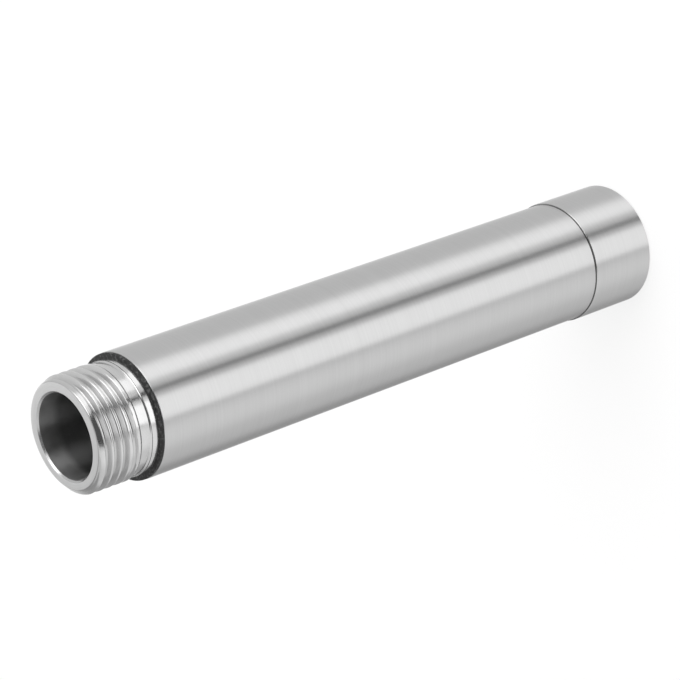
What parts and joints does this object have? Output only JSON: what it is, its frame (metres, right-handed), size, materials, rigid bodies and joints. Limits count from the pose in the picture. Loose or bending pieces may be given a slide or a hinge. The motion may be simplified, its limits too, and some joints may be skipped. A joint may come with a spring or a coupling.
{
  "type": "shower arm extension",
  "caption": "Straight round shower arm extension: a brushed tube between a plated male thread with a black seal ring and a smooth collar with a female thread",
  "frame": {"origin": "centre of the open face of the female end, on which it stands", "axes": "+Z runs along the tube from the female end to the male thread, the other two axes are free because the outline is round"},
  "size_m": [0.0232, 0.0232, 0.13],
  "materials": {
    "brushed_tube": "stainless steel, brushed round the axis",
    "plated_nipple": "turned brass with bright nickel plating",
    "seal_rubber": "black moulded rubber",
    "brushed_collar": "stainless steel, brushed round the axis",
    "washer_rubber": "cut rubber sheet"
  },
  "bodies": {
    "root": {"outer_tube": "brushed_tube", "thread_nipple": "plated_nipple", "front_seal_ring": "seal_rubber", "socket_collar": "brushed_collar", "socket_washer": "washer_rubber"}
  },
  "joints": []
}
